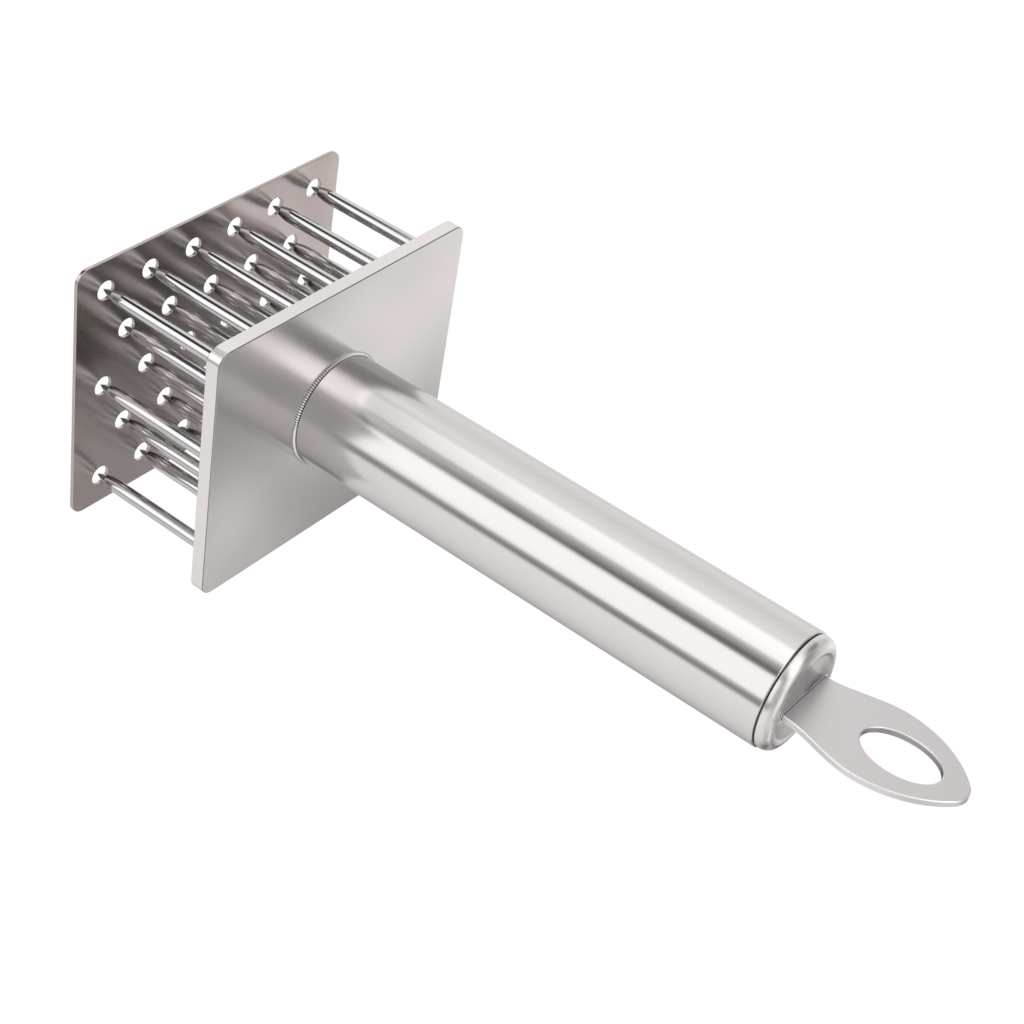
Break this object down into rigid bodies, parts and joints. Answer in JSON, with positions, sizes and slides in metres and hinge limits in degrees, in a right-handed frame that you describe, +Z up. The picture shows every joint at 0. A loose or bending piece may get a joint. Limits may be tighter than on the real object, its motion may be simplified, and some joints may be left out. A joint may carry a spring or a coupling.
{
  "type": "needle meat tenderizer",
  "caption": "Hand-held stainless needle meat tenderizer: tube handle with a leaf-shaped hanging tab, thick needle plate and a sprung guard plate that slides up the needles.",
  "frame": {"origin": "middle of the guard plate's outer face, on which the tool stands, below the handle's axis", "axes": "+Z up along the handle from the guard plate to the hanging tab, +X along the long rows of needles, +Y across the rows"},
  "size_m": [0.0764, 0.061, 0.1881],
  "materials": {
    "brushed_plate": "satin brushed stainless",
    "guard_sheet": "satin rolled stainless sheet",
    "brushed_tube": "fine lengthwise brushed stainless",
    "pressed_cap": "soft satin stainless",
    "satin_tab": "matt satin stainless",
    "bright_weld": "bright rippled weld",
    "polished_needle": "mirror polished stainless",
    "turned_steel": "turned stainless",
    "spring_wire": "drawn stainless spring wire",
    "bronze": "turned bearing bronze",
    "nylon": "natural nylon"
  },
  "bodies": {
    "handle": {"base_plate": "brushed_plate", "guide_bush": "bronze", "stop_washer": "nylon", "weld_bead": "bright_weld", "handle_tube": "brushed_tube", "rod_spring": "spring_wire", "spring_seat": "turned_steel", "end_cap": "pressed_cap", "hanging_tab": "satin_tab", "needle_a1": "polished_needle", "needle_a2": "polished_needle", "needle_a3": "polished_needle", "needle_a4": "polished_needle", "needle_a5": "polished_needle", "needle_a6": "polished_needle", "needle_b1": "polished_needle", "needle_b2": "polished_needle", "needle_b3": "polished_needle", "needle_b4": "polished_needle", "needle_b5": "polished_needle", "needle_c1": "polished_needle", "needle_c2": "polished_needle", "needle_c3": "polished_needle", "needle_c4": "polished_needle", "needle_c5": "polished_needle", "needle_c6": "polished_needle", "needle_d1": "polished_needle", "needle_d2": "polished_needle", "needle_d3": "polished_needle", "needle_d4": "polished_needle", "needle_d5": "polished_needle", "needle_e1": "polished_needle", "needle_e2": "polished_needle", "needle_e3": "polished_needle", "needle_e4": "polished_needle", "needle_e5": "polished_needle", "needle_e6": "polished_needle"},
    "guard": {"guard_plate": "guard_sheet", "guide_rod": "turned_steel", "rod_collar": "turned_steel", "rod_nut": "turned_steel"}
  },
  "joints": [
    {"name": "guard_slide", "type": "slide", "parent": "handle", "child": "guard", "axis": [0, 0, 1], "range_m": [0, 0.03295], "stiffness_N_per_m": 250, "springref_m": -0.04, "deforming": ["rod_spring"]}
  ]
}
